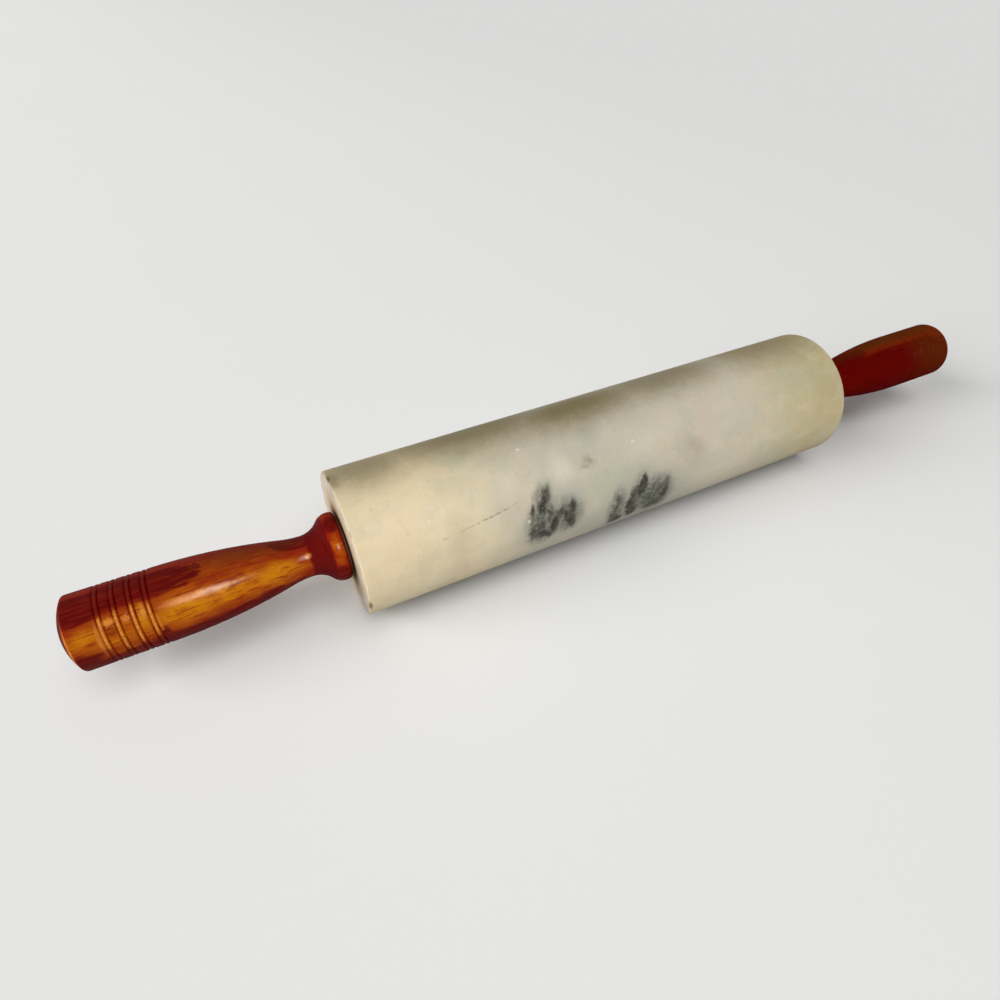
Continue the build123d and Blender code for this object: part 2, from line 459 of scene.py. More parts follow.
# %% Coordinates in millimetres
times, plus, minus, times_plus = (
    {"operation": name} for name in ("MULTIPLY", "ADD", "SUBTRACT", "MULTIPLY_ADD")
)


def add_place(tree):
    """The place in millimetres, counted from the middle of the pin's axis."""
    place = add_node(tree, "TexCoord")["Object"]
    return add_node(tree, "VectorMath", times_plus, [place, (1 / MM,) * 3, (0, 0, -axis_height / MM)])[0]


def add_gap(tree, value, middle=0.0):
    """How far a value is from a middle one, on either side."""
    apart = add_node(tree, "Math", minus, [value, middle])[0]
    return add_node(tree, "Math", {"operation": "ABSOLUTE"}, [apart])[0]


def add_distance(tree, place, line=(0.0, 0.0)):
    """Millimetres from the axis, or from a line beside it that passes through Y and Z."""
    away = add_node(tree, "VectorMath", times_plus, [place, (0, 1, 1), (0, -line[0], -line[1])])[0]
    return add_node(tree, "VectorMath", {"operation": "LENGTH"}, [away])["Value"]


def unroll(tree, place, from_collar=False):
    """Millimetres along the axis and degrees round it, as X and Y."""
    parts = add_node(tree, "SeparateXYZ", inputs=[place])
    along = parts["X"]
    if from_collar:
        along = add_node(tree, "Math", minus, [add_gap(tree, along), collar_face_at / MM])[0]
    to_front = add_node(tree, "Math", times, [parts["Y"], -1.0])[0]
    turn = add_node(tree, "Math", {"operation": "ARCTAN2"}, [to_front, parts["Z"]])[0]
    degrees = add_node(tree, "Math", {"operation": "DEGREES"}, [turn])[0]
    return add_node(tree, "CombineXYZ", inputs=[along, degrees])[0]


# %% [markdown]
# ## Patterns and layers
# A real surface is built up in layers, and so are the colours here: each layer is a colour and an
# amount from 0 to 1. The amount often is a soft step: it goes from one value to another while a
# noise or a distance goes from low to high, with no hard edge. Noise makes the patterns, and it
# also pushes the placed marks about, so that none of them ends in a clean line.

# %% Patterns and layers
def add_patterns(tree, place, sizes):
    """Noises, squeezed along the axis and across it. Their scale is one over their size in mm."""
    patterns = []
    for squeeze_along, squeeze_across, scale, detail, roughness in sizes:
        squeeze = (squeeze_along, squeeze_across, squeeze_across)
        at = add_node(tree, "VectorMath", times, [place, squeeze])[0]
        patterns.append(add_node(
            tree, "TexNoise", (), {"Vector": at, "Scale": scale, "Detail": detail, "Roughness": roughness}
        ))
    return patterns


def push_value(tree, value, pattern, reach):
    """Moves a value by up to half of reach either way, by a noise."""
    push = add_node(tree, "Math", times_plus, [pattern[0], reach, -reach / 2])[0]
    return add_node(tree, "Math", plus, [value, push])[0]


def push_about(tree, vector, pattern, reach):
    """Moves a vector's X and Y in the same way, by the noise's red and green."""
    shift = (-reach[0] / 2, -reach[1] / 2, 0)
    push = add_node(tree, "VectorMath", times_plus, [pattern["Color"], (*reach, 0), shift])[0]
    return add_node(tree, "VectorMath", plus, [vector, push])[0]


def add_amount(tree, *factors):
    """The product of the factors. A factor is an output, a number, or a soft step, which is written
    as (value, low, high, amount at low, amount at high). The last two are 0 and 1 if left out."""
    amount = None
    for factor in factors:
        if isinstance(factor, tuple):
            factor = add_node(tree, "MapRange", {"interpolation_type": "SMOOTHSTEP"}, factor)[0]
        amount = factor if amount is None else add_node(tree, "Math", times, [amount, factor])[0]
    return amount


def paint_layers(tree, colour, *layers):
    """Lays colours over a colour in turn. A layer is its colour, then the factors of its amount."""
    for over, *factors in layers:
        amount = add_amount(tree, *factors)
        colour = add_node(tree, "Mix", {"data_type": "RGBA"}, {0: amount, 6: colour, 7: over})[2]
    return colour


def add_patches(tree, unrolled, patches, soft=0.8):
    """Ellipses on the unrolled surface, the strongest showing. Each is half strong at its edge."""
    strongest = None
    for along, degrees, half_along, half_degrees, lean, strength in patches:
        mapped = add_node(
            tree, "Mapping", {"vector_type": "TEXTURE"},
            {"Vector": unrolled, "Location": (along, degrees, 0), "Rotation": (0, 0, math.radians(lean)),
             "Scale": (half_along, half_degrees, 1)},
        )[0]
        reach = add_node(tree, "VectorMath", {"operation": "LENGTH"}, [mapped])["Value"]
        patch = add_amount(tree, (reach, 1 + soft, 1 - soft, 0.0, strength))
        if strongest is None:
            strongest = patch
        else:
            strongest = add_node(tree, "Math", {"operation": "MAXIMUM"}, [strongest, patch])[0]
    return strongest


# %% [markdown]
# ## Marble
# The stone is honed calcite marble: ground smooth but not polished, so it has a soft sheen and no
# mirror. Warm cream at the left turns to a cool grey-white and then to yellow ivory. The smudges
# are thin layers of graphite-dark mineral that the lathe cut through, and they have brushed edges.
# Each smudge is a list of soft ellipses, because a noise alone never puts one in the right place.

# %% Marble colours
stone_cream = linear("DFCDA8")
stone_grey_white = linear("C5BDA9")
stone_ivory = linear("BBAE86")
stone_blush = linear("D6B898")
stone_green = linear("ACB096")
stone_pale = linear("D4CDBA")
stone_olive = linear("7C7150")
stone_cool = linear("A3A194")
stone_wash = linear("4E5147")
stone_charcoal = linear("34342C")
stone_plum = linear("524C46")
stone_rust = linear("6A4A2A")
stone_ground = linear("E6DCD2")
stone_ground_shade = linear("CDC2B6")
stone_vein = linear("8D8A80")
stone_handled = linear("C8AF8A")
# The two browns by the collar are oil stain and painted shade of the collar and its gap.
stone_oil_and_collar_shade = linear("6E5034")
stone_gap_shade_and_oil = linear("5E2A10")

# %% Marble patches
# Each is: mm along the axis, degrees round it, half width, half height in degrees, lean, strength.
smudge_strokes = [
    (-46.0, 60.0, 2.2, 8.5, 9.0, 0.8),
    (-48.4, 67.5, 2.0, 5.0, 0.0, 0.8),
    (-52.8, 68.0, 1.1, 6.0, 4.0, 0.75),
    (-53.2, 88.0, 2.2, 8.0, 0.0, 0.62),
    (-50.0, 82.0, 2.6, 7.0, 0.0, 0.62),
    (-48.6, 91.0, 2.4, 4.5, -10.0, 0.85),
    (-45.8, 95.0, 2.0, 3.6, -20.0, 0.95),
    (-43.0, 86.0, 2.1, 9.0, 3.0, 0.85),
    (-44.6, 74.5, 1.6, 5.0, 8.0, 0.6),
    (-39.6, 76.5, 2.6, 4.5, 8.0, 0.62),
    (-35.4, 84.5, 2.3, 6.5, -8.0, 1.2),
    (-33.8, 75.5, 1.7, 6.5, 3.0, 0.8),
    (-33.8, 91.0, 1.3, 5.0, 2.0, 0.85),
    (-10.6, 85.0, 1.8, 8.0, -4.0, 0.5),
    (-11.2, 98.0, 1.4, 11.0, 4.0, 0.6),
    (-9.0, 110.0, 3.4, 6.0, 0.0, 1.0),
    (3.9, 73.5, 1.6, 4.0, 3.0, 1.1),
    (2.6, 81.0, 2.4, 7.0, 10.0, 1.1),
    (-1.6, 84.0, 2.0, 7.0, 8.0, 0.72),
    (-3.0, 94.0, 2.4, 6.5, 0.0, 1.05),
    (-1.6, 104.0, 2.8, 8.0, -6.0, 1.0),
    (4.4, 97.0, 1.6, 9.0, 4.0, 0.4),
    (8.0, 92.0, 1.4, 8.0, -8.0, 0.32),
    (11.5, 106.0, 5.5, 6.0, 0.0, 0.65),
    (16.4, 84.0, 1.6, 7.0, 2.0, 0.5),
    (15.6, 95.0, 1.9, 9.0, 4.0, 0.72),
    (64.0, -118.0, 3.0, 18.0, 10.0, 0.9),
    (71.0, -108.0, 1.9, 12.0, 8.0, 0.8),
    (-92.0, -132.0, 2.4, 14.0, -8.0, 0.8),
]
smudge_gaps = [
    (-46.9, 76.5, 0.8, 3.4, 6.0, 0.7),
    (-46.7, 85.0, 0.7, 3.6, 0.0, 0.5),
    (-39.4, 92.0, 1.4, 3.5, 0.0, 0.5),
    (-7.2, 95.0, 0.8, 11.0, 3.0, 0.8),
    (7.0, 102.0, 0.6, 5.0, 0.0, 0.4),
]
wash_patches = [
    (-48.2, 81.0, 7.4, 19.0, 4.0, 0.85),
    (-36.2, 82.0, 7.0, 15.0, 0.0, 0.78),
    (-47.2, 61.0, 4.6, 12.0, 8.0, 0.62),
    (-10.0, 95.0, 4.2, 20.0, 2.0, 0.75),
    (0.8, 91.0, 5.6, 20.0, 6.0, 0.85),
    (10.6, 95.0, 8.8, 19.0, 0.0, 1.0),
    (67.0, -113.0, 9.0, 20.0, 8.0, 0.6),
]
halo_patches = [
    (-42.0, 82.0, 16.0, 32.0, 5.0, 0.95),
    (4.0, 96.0, 25.0, 36.0, 0.0, 0.95),
    (-14.0, 66.0, 16.0, 26.0, 20.0, 0.4),
    (-26.0, 102.0, 16.0, 16.0, 0.0, 0.7),
    (32.0, 66.0, 9.0, 22.0, -10.0, 0.5),
    (-20.0, 36.0, 34.0, 24.0, 8.0, 0.36),
    (-62.0, 60.0, 9.0, 20.0, 0.0, 0.34),
    (52.0, 47.0, 17.0, 18.0, 0.0, 0.28),
    (-18.0, 22.0, 8.0, 16.0, 10.0, 0.5),
    (68.0, -114.0, 16.0, 28.0, 8.0, 0.7),
    (-90.0, -130.0, 12.0, 26.0, -5.0, 0.6),
]
green_patches = [
    (-17.0, 63.0, 8.0, 12.0, 15.0, 0.55),
    (47.0, 78.0, 9.0, 10.0, 0.0, 0.35),
    (-42.0, 44.0, 4.0, 9.0, 10.0, 0.3),
    (97.0, 34.0, 12.0, 13.0, 0.0, 0.4),
    (-60.0, 22.0, 8.0, 8.0, 0.0, 0.3),
    (-72.0, 6.0, 12.0, 10.0, 0.0, 0.4),
]
pale_patches = [
    (-36.0, 42.0, 4.5, 12.0, 0.0, 0.55),
    (-60.0, 42.0, 4.0, 12.0, 10.0, 0.3),
    (5.0, 42.0, 8.0, 12.0, 12.0, 0.3),
    (47.0, 86.0, 14.0, 10.0, -8.0, 0.16),
]
# The large olive patches along the top, from -10 to -22 degrees round, are painted shade on the barrel's
# top as well as olive clouding.
olive_clouds_and_top_shade_patches = [
    (-62.0, -20.0, 44.0, 26.0, 4.0, 0.9),
    (-14.0, -12.0, 35.0, 23.0, -4.0, 1.0),
    (34.0, -18.0, 36.0, 25.0, -4.0, 0.82),
    (98.0, -22.0, 32.0, 28.0, 0.0, 0.7),
    (-126.0, -10.0, 6.5, 14.0, 0.0, 0.8),
    (-112.0, -16.0, 20.0, 24.0, 0.0, 0.75),
    (-21.0, -13.0, 1.5, 2.8, 0.0, 1.3),
    (-24.4, 46.5, 1.9, 1.8, 12.0, 0.4),
    (-21.6, 44.5, 2.2, 4.2, -15.0, 0.45),
    (33.5, 60.0, 4.0, 8.0, -20.0, 0.24),
    (-86.0, 74.0, 5.0, 18.0, 0.0, 0.15),
    (118.0, 50.0, 11.0, 20.0, 0.0, 0.17),
    (40.0, -150.0, 36.0, 15.0, 8.0, 0.5),
]
rust_patches = [
    (-126.7, -13.0, 0.7, 4.4, 0.0, 1.0),
    (-126.6, 104.0, 0.8, 5.0, 0.0, 0.9),
    (-126.9, 40.0, 0.4, 3.0, 0.0, 0.4),
]
pale_specks = [
    (-50.2, 18.0, 0.5, 1.0, 0.0, 0.9),
    (-96.5, 49.0, 0.5, 0.9, 0.0, 0.7),
    (1.5, 40.5, 0.6, 1.0, 0.0, 0.6),
    (-55.0, 75.0, 0.5, 1.2, 0.0, 0.7),
    (-35.5, 100.0, 0.4, 1.2, 0.0, 0.6),
]
crack_line = [(-70.0, 60.0, 13.0, 0.6, -13.6, 0.9), (-91.5, 65.3, 1.4, 0.7, 0.0, 0.6)]

# %% Marble, its slow colours
# Squeezed along and across the axis, then scale, detail and roughness.
stone_patterns = [
    (1.0, 1.0, 0.035, 3.0, 0.55),  # folds in the rock, 3 cm
    (1.0, 1.0, 0.04, 2.5, 0.5),  # clouds, 25 mm
    (0.6, 1.0, 0.16, 3.0, 0.6),  # mottles, 10 mm long and 6 mm wide
    (1.0, 1.0, 0.16, 4.0, 0.6),  # wisps, 6 mm
    (1.0, 1.0, 0.022, 3.0, 0.5),  # folded sheets, 45 mm, which the surface cuts in veins
    (1.0, 1.0, 0.55, 3.0, 0.6),  # flecks, 2 mm
    (1.0, 1.0, 0.9, 2.0, 0.5),  # crystals, finer than a millimetre but drawn 1 mm wide to show
]
marble, tree = start_material("honed_marble")
place = add_place(tree)
unrolled = unroll(tree, place)
folds, clouds, mottles, wisps, sheets, fleck, crystals = add_patterns(tree, place, stone_patterns)

# The folds bend every large pattern by a centimetre or so. One noise gives three sets of clouds, in
# its red, green and blue.
unrolled_folded = push_about(tree, unrolled, folds, (20.0, 20.0))
along = add_node(tree, "SeparateXYZ", inputs=[unrolled_folded])["X"]
cloud = add_node(tree, "SeparateColor", inputs=[clouds["Color"]])
mottle = add_node(tree, "SeparateColor", inputs=[mottles["Color"]])
stone = paint_layers(
    tree, stone_cream,
    (stone_grey_white, (along, -108.0, -36.0)),
    (stone_ivory, (along, 58.0, 108.0)),
    (stone_blush, (cloud[0], 0.5, 0.68, 0.0, 0.22)),
    (stone_green, (cloud[1], 0.52, 0.7, 0.0, 0.3)),
    (stone_pale, (cloud[2], 0.52, 0.7, 0.0, 0.26)),
    (stone_blush, (mottle[0], 0.5, 0.64, 0.0, 0.2)),
    (stone_green, (mottle[1], 0.5, 0.64, 0.0, 0.13)),
    (stone_pale, (mottle[2], 0.5, 0.66, 0.0, 0.2)),
)

# %% Marble, its placed colours
# Thin grey veins run through the back of the barrel only, where the folded sheets cross the surface.
unrolled_wispy = push_about(tree, unrolled, wisps, (7.0, 14.0))
parts = add_node(tree, "SeparateXYZ", inputs=[place])
to_end, to_back = add_gap(tree, parts["X"]), parts["Y"]
# The olive patches also paint shade along the top of the barrel.
stone = paint_layers(
    tree, stone,
    (stone_cool, add_patches(tree, unrolled_folded, halo_patches)),
    (stone_green, add_patches(tree, unrolled_folded, green_patches)),
    (stone_pale, add_patches(tree, unrolled_wispy, pale_patches)),
    (stone_olive, add_patches(tree, unrolled_wispy, olive_clouds_and_top_shade_patches)),
    (stone_vein, (add_gap(tree, sheets[0], 0.5), 0.011, 0.0, 0.0, 0.4), (to_back, 14.0, 26.0),
     (cloud[1], 0.42, 0.56)),
)

# %% Marble, its smudges
# Brush marks: noise that is drawn out round the barrel, about 1.5 mm wide and 10 mm long.
brush_place = add_node(
    tree, "Mapping", (),
    {"Vector": unrolled, "Rotation": (0, 0, math.radians(-8)), "Scale": (0.6, 0.055, 1.0)},
)[0]
brush = add_node(
    tree, "TexNoise", (), {"Vector": brush_place, "Scale": 1.0, "Detail": 4.0, "Roughness": 0.68}
)
unrolled_brushed = push_about(tree, push_about(tree, unrolled, brush, (1.8, 7.0)), fleck, (1.8, 4.0))
unrolled_washed = push_about(tree, unrolled_brushed, wisps, (3.0, 8.0))
strokes = add_patches(tree, unrolled_brushed, smudge_strokes, 0.75)
gaps = add_patches(tree, unrolled_brushed, smudge_gaps, 0.6)
charcoal = add_node(tree, "Math", minus, [strokes, gaps])[0]
charcoal = push_value(tree, push_value(tree, charcoal, brush, 0.7), fleck, 0.5)
charcoal_colour = paint_layers(tree, stone_charcoal, (stone_plum, (wisps[0], 0.44, 0.64)))
stone = paint_layers(
    tree, stone,
    (stone_wash, add_patches(tree, unrolled_washed, wash_patches, 0.5), (fleck[0], 0.3, 0.6, 0.55, 1.0)),
    (charcoal_colour, (charcoal, 0.0, 0.86)),
)

# %% Marble, its small marks and its ends
# A healed crack shows as a dotted line, because the stone around it broke away here and there. The
# ends were ground, not honed, so they are chalky up to a ragged line at the rim. Hands have tanned them
# round the collar, and the brown that darkens towards the collar and fills the gap under it is oil stain
# and painted shade. Rust has spotted the rim.
end_at = barrel_face_at / MM
end_reach = push_value(tree, to_end, fleck, 0.5)
from_axis = add_distance(tree, place)
from_axis_ragged = push_value(tree, from_axis, fleck, 0.5)
unrolled_wavy = push_about(tree, unrolled, wisps, (0.0, 5.0))
ground_colour = paint_layers(tree, stone_ground, (stone_ground_shade, (wisps[0], 0.4, 0.62)))
stone = paint_layers(
    tree, stone,
    (stone_olive, add_patches(tree, unrolled_wavy, crack_line, 0.6), (fleck[0], 0.4, 0.6, 0.1, 0.75)),
    (stone_pale, (crystals[0], 0.62, 0.8, 0.0, 0.35)),
    (stone_vein, (crystals[0], 0.36, 0.22, 0.0, 0.06)),
    (ground_colour, (end_reach, end_at - 0.12, end_at + 0.02, 0.0, 0.8)),
    (stone_handled, (from_axis_ragged, 29.0, 19.0, 0.0, 0.85), (end_reach, end_at - 0.4, end_at - 0.15)),
    (stone_oil_and_collar_shade, (from_axis_ragged, 21.0, 15.0, 0.0, 0.95)),
    (stone_gap_shade_and_oil, (from_axis, 15.4, 14.9)),
    (stone_rust, add_patches(tree, unrolled_wavy, rust_patches), (from_axis, 30.2, 31.2)),
    (stone_ground, add_patches(tree, unrolled, pale_specks)),
)

# %% Marble shader
# Calcite's IOR is between 1.49 and 1.66. Honing scatters most of the gloss, and light sinks about a
# millimetre into the stone.
honed = add_amount(tree, (clouds[0], 0.35, 0.65, 0.58, 0.68))
bump = add_node(tree, "Bump", (), {"Strength": 0.2, "Distance": 0.1 * MM, "Height": crystals[0]})[0]
surface = add_node(
    tree, "BsdfPrincipled", (),
    {"Base Color": stone, "Roughness": honed, "IOR": 1.55, "Specular IOR Level": 0.15,
     "Subsurface Weight": 0.12, "Subsurface Radius": (1.0, 0.8, 0.6), "Subsurface Scale": 1.2 * MM,
     "Normal": bump},
)[0]
give_material(marble, surface, [stone_barrel])

# %% [markdown]
# ## Stained and varnished wood
# The handles are a pale, fine-grained hardwood under a cherry stain and a glossy varnish. The stain
# took unevenly: deep red over most of the wood, and a clear amber where it was wiped or worn thin.
# It gathered in the grooves. On the front of the left handle the amber and gold are partly painted
# light, and some pale spots are painted highlights. The varnish is the coat layer of the shader, and
# its weight is low, because old varnish has lost most of its depth and only a strong light shows in it.

# %% Wood colours and zones
wood_red = linear("861E03")
wood_deep = linear("5C0200")
wood_amber = linear("B05A04")
wood_gold = linear("CC8408")
wood_worn_and_highlight = linear("DC8A36")
wood_dull = linear("6E1E0A")
wood_brown = linear("5C2A06")
wood_end_grain = linear("3A0E04")
wood_end_ring = linear("5E1C08")
wood_black = linear("3A0C04")
# Each is: mm from the collar's face, degrees round, half length, half height in degrees, lean, strength.
# The front patches of the left handle, 48 to 80 degrees round, are painted light as well as thin stain.
amber_stain_and_lit_patches = {
    "left": [
        (36.0, 60.0, 21.0, 28.0, 0.0, 1.0),
        (60.0, 60.0, 13.0, 30.0, 0.0, 1.0),
        (83.0, 66.0, 16.0, 28.0, 0.0, 0.85),
        (98.0, 60.0, 7.0, 17.0, 0.0, 0.85),
        (24.0, 80.0, 5.0, 32.0, 0.0, 0.5),
        (3.0, 48.0, 2.0, 22.0, 0.0, 0.62),
        (3.2, 68.0, 1.8, 10.0, 0.0, 0.4),
        (42.0, 14.0, 17.0, 24.0, 0.0, 0.4),
        (50.0, -120.0, 34.0, 34.0, 0.0, 0.8),
    ],
    "right": [
        (72.0, -12.0, 40.0, 18.0, 0.0, 0.14),
        (50.0, -110.0, 36.0, 32.0, 0.0, 0.8),
        (60.0, 170.0, 30.0, 22.0, 0.0, 0.6),
    ],
}
# The gold on the front of the left handle is painted light as well as thin stain.
gold_stain_and_lit_patches = {
    "left": [
        (28.0, 60.0, 8.0, 18.0, 0.0, 0.7),
        (46.0, 60.0, 12.0, 11.0, 0.0, 0.8),
        (62.0, 62.0, 9.0, 14.0, 0.0, 0.8),
        (76.0, 52.0, 1.6, 18.0, 0.0, 0.7),
        (96.0, 55.0, 4.0, 8.0, 0.0, 0.6),
    ],
    "right": [(50.0, -110.0, 20.0, 17.0, 0.0, 0.4)],
}
# Most of the left handle's pale spots are painted highlights: the lamp's streak along the grip, a spot by
# the neck, lines beside the grooves and on the edge of the end. The right handle's one is wear.
worn_and_highlight_patches = {
    "left": [
        (75.6, 44.0, 0.8, 10.0, 0.0, 0.6),
        (71.9, 68.0, 0.5, 12.0, 0.0, 0.5),
        (81.6, 47.0, 1.4, 5.0, 0.0, 0.6),
        (87.2, 44.5, 2.0, 5.0, 0.0, 0.8),
        (91.6, 66.0, 0.9, 22.0, 0.0, 0.5),
        (57.0, 47.0, 11.0, 6.0, 0.0, 0.75),
        (51.0, 58.0, 4.0, 6.0, 0.0, 0.5),
        (14.8, 46.0, 1.3, 7.0, 0.0, 0.9),
        (102.0, 66.0, 0.4, 36.0, 0.0, 0.8),
    ],
    "right": [(50.0, -110.0, 4.0, 6.0, 0.0, 0.3)],
}
# Where the beads between the grooves are paler: worn on the back, and on the front of the left handle
# partly painted highlight.
bright_bead_and_highlight_patches = {
    "left": [(82.0, 61.0, 14.0, 30.0, 0.0, 0.9), (82.0, -110.0, 12.0, 30.0, 0.0, 0.6)],
    "right": [(82.0, -110.0, 12.0, 30.0, 0.0, 0.6)],
}
brown_patches = {
    "left": [(34.0, -4.0, 18.0, 18.0, 0.0, 0.4)],
    "right": [(74.0, -16.0, 40.0, 26.0, 0.0, 0.9), (96.0, 40.0, 20.0, 70.0, 0.0, 0.6)],
}
coat_weight = {"left": 0.1, "right": 0.02}
streak_share = {"left": 0.6, "right": 0.86}
bead_share = {"left": 0.5, "right": 0.12}
deep_patches = {
    "left": [
        (18.0, -6.0, 10.0, 24.0, 0.0, 1.0),
        (59.5, 10.0, 6.0, 17.0, 0.0, 1.0),
        (70.0, 8.0, 14.0, 24.0, 0.0, 1.0),
        (82.0, 4.0, 16.0, 27.0, 0.0, 0.88),
        (97.0, 12.0, 9.0, 29.0, 0.0, 0.88),
        (87.3, 59.0, 2.0, 11.0, 0.0, 0.55),
        (70.8, 88.0, 1.7, 8.0, 0.0, 1.0),
        (66.0, 124.0, 50.0, 31.0, 0.0, 1.0),
        (36.0, 116.0, 18.0, 26.0, 0.0, 1.0),
        (100.0, 104.0, 9.0, 26.0, 0.0, 0.8),
        (4.0, 104.0, 5.0, 24.0, 0.0, 0.9),
        (3.0, 4.0, 4.0, 20.0, 0.0, 0.75),
        (54.9, -1.0, 1.3, 3.8, 0.0, 1.1),
    ],
    "right": [
        (46.0, 74.0, 70.0, 62.0, 0.0, 1.0),
        (24.0, 0.0, 22.0, 34.0, 0.0, 1.0),
        (84.0, 40.0, 14.0, 30.0, 0.0, 0.8),
    ],
}

# %% Wood patterns
# Squeezed along and across the axis, then scale, detail and roughness.
wood_patterns = [
    (0.06, 1.0, 0.55, 6.0, 0.62),  # grain lines 2 mm wide and 30 mm long
    (0.22, 1.0, 1.9, 2.0, 0.5),  # pores half a millimetre wide and 2.4 mm long
    (0.12, 1.0, 0.85, 3.0, 0.55),  # streaks a millimetre wide and a centimetre long
    (1.0, 1.0, 0.22, 4.0, 0.6),  # blotches of stain, 5 mm
    (1.0, 1.0, 1.3, 2.0, 0.6),  # specks under a millimetre
]
cove_middle_at = 9.9
pith_line = (22.0, -13.0)
first_pair_at, half_pitch, half_spacing = pair_places[0] / MM, pair_pitch / 2 / MM, pair_spacing / 2 / MM
rings_from, rings_to = groove_places[0] / MM, groove_places[-1] / MM
handle_end_at = handle_length / MM


# %% Varnished wood
def make_varnished_wood(side_name, handle):
    """Stained hardwood with its grain along the axis."""
    wood, tree = start_material(f"{side_name}_cherry_stained_wood")
    place = add_place(tree)
    unrolled = unroll(tree, place, from_collar=True)
    along = add_node(tree, "SeparateXYZ", inputs=[unrolled])["X"]
    grain, pores, streaks, blotch, specks = add_patterns(tree, place, wood_patterns)
    ragged = push_about(tree, push_about(tree, unrolled, grain, (5.0, 16.0)), blotch, (1.6, 10.0))

    # Amber where the stain is thin, gold where it is thinnest, and deep red where it pooled. On the front
    # of the left handle the amber and gold are partly painted light, where the lamp lights the wood most.
    # The grain breaks the border of the deep red into fingers.
    amber = add_patches(tree, ragged, amber_stain_and_lit_patches[side_name], 0.6)
    amber = add_amount(tree, amber, (grain[0], 0.68, 0.42, 0.55, 1.0))
    gold = add_patches(tree, ragged, gold_stain_and_lit_patches[side_name], 0.7)
    deep = push_value(tree, add_patches(tree, ragged, deep_patches[side_name], 0.5), grain, 0.9)
    colour = paint_layers(
        tree, wood_red,
        (wood_amber, amber),
        (wood_gold, gold, (blotch[0], 0.34, 0.6, 0.3, 1.0)),
        (wood_red, (streaks[0], 0.52, 0.66, 0.0, 0.7)),
        (wood_gold, amber, (streaks["Color"], 0.46, 0.32, 0.0, 0.8)),
        (wood_deep, (deep, 0.3, 0.75), (streaks[0], 0.36, 0.56, streak_share[side_name], 1.0)),
        (wood_deep, (pores[0], 0.6, 0.74, 0.0, 0.45)),
        (wood_brown, add_patches(tree, ragged, brown_patches[side_name], 0.6)),
    )

    # Stain pooled in the cove behind the collar's bead, and in the two grooves of each pair. The
    # distance to the nearest pair folds back and forth. The pale beads and spots are partly wear and partly
    # painted highlight: the lamp's streak along the grip, a spot by the neck, lines beside the grooves and
    # the thin light line at the edge of the end.
    from_cove = push_value(tree, add_gap(tree, along, cove_middle_at), blotch, 3.0)
    past_first_pair = add_node(tree, "Math", minus, [along, first_pair_at])[0]
    from_pair = add_node(tree, "Math", {"operation": "PINGPONG"}, [past_first_pair, half_pitch])[0]
    from_groove = push_value(tree, add_gap(tree, from_pair, half_spacing), specks, 0.5)
    in_rings = add_amount(
        tree, (along, rings_from - 1.1, rings_from - 0.6), (along, rings_to + 1.1, rings_to + 0.6)
    )
    on_bead = add_amount(tree, (push_value(tree, from_pair, specks, 0.5), 0.6, 0.3), in_rings)
    bright = add_patches(tree, ragged, bright_bead_and_highlight_patches[side_name], 0.2)
    worn_and_highlight_spots = add_patches(tree, push_about(tree, unrolled, specks, (0.5, 8.0)), worn_and_highlight_patches[side_name], 0.5)
    colour = paint_layers(
        tree, colour,
        (wood_deep, (from_cove, 4.9, 3.6, 0.0, 0.95)),
        (wood_deep, (from_groove, 0.36, 0.06, 0.0, 0.6), in_rings),
        (wood_dull, on_bead, bead_share[side_name]),
        (wood_worn_and_highlight, on_bead, bright, (specks[0], 0.36, 0.56, 0.45, 1.0)),
        (wood_worn_and_highlight, worn_and_highlight_spots, (blotch[0], 0.36, 0.56, 0.35, 0.9)),
    )

    # End grain drinks stain, so both ends of the handle are dark, and their near black on the dome and on
    # the collar's edge is painted shade as well. Growth rings 2 mm apart run across the end, round a pith
    # that lay outside the blank, and pores prick it.
    from_pith = push_value(tree, add_distance(tree, place, pith_line), blotch, 3.0)
    growth = add_node(tree, "Math", {"operation": "PINGPONG"}, [from_pith, 1.0])[0]
    end_grain_and_shade_colour = paint_layers(
        tree, wood_end_grain,
        (wood_end_ring, (growth, 0.25, 0.95, 0.0, 0.8)),
        (wood_black, (specks[0], 0.56, 0.66, 0.0, 0.7)),
    )
    end_reach = push_value(tree, along, specks, 0.5)
    # The dome and the collar's edge are painted near black: end grain, and painted shade.
    colour = paint_layers(
        tree, colour,
        (end_grain_and_shade_colour, (end_reach, handle_end_at - 3.6, handle_end_at - 2.8, 0.0, 0.9)),
        (wood_black, (end_reach, 1.0, 0.4, 0.0, 0.9)),
    )

    # Under the varnish the wood has no gloss of its own. The coat's IOR is above varnish's usual 1.5
    # to match the object: it keeps the few highlights bright at a low weight.
    ripple = add_node(tree, "Bump", (), {"Strength": 0.6, "Distance": 0.12 * MM, "Height": grain[0]})[0]
    dents = add_node(
        tree, "Bump", (),
        {"Strength": 0.5, "Distance": 0.16 * MM, "Height": specks[0], "Normal": ripple},
    )[0]
    surface = add_node(
        tree, "BsdfPrincipled", (),
        {"Base Color": colour, "Roughness": 0.55, "IOR": 1.5, "Specular IOR Level": 0.0,
         "Coat Weight": coat_weight[side_name], "Coat Roughness": 0.15, "Coat IOR": 1.7,
         "Normal": ripple, "Coat Normal": dents},
    )[0]
    give_material(wood, surface, [handle])


for side_name, handle in turned_handles.items():
    make_varnished_wood(side_name, handle)

# %% [markdown]
# ## Metal and nylon
# Between the barrel and each collar only the edge of a washer shows, dark with old oil and flour.
# The rod, the bushings and the threaded inserts are hidden, but they are finished too, because a
# part on a shelf may be taken apart. The CAD solids have the right shapes and stay as they are.

# %% Turned steel
steel_bright, steel_dull, old_oil = linear("A7A5A0"), linear("8E8C88"), linear("5E2C12")
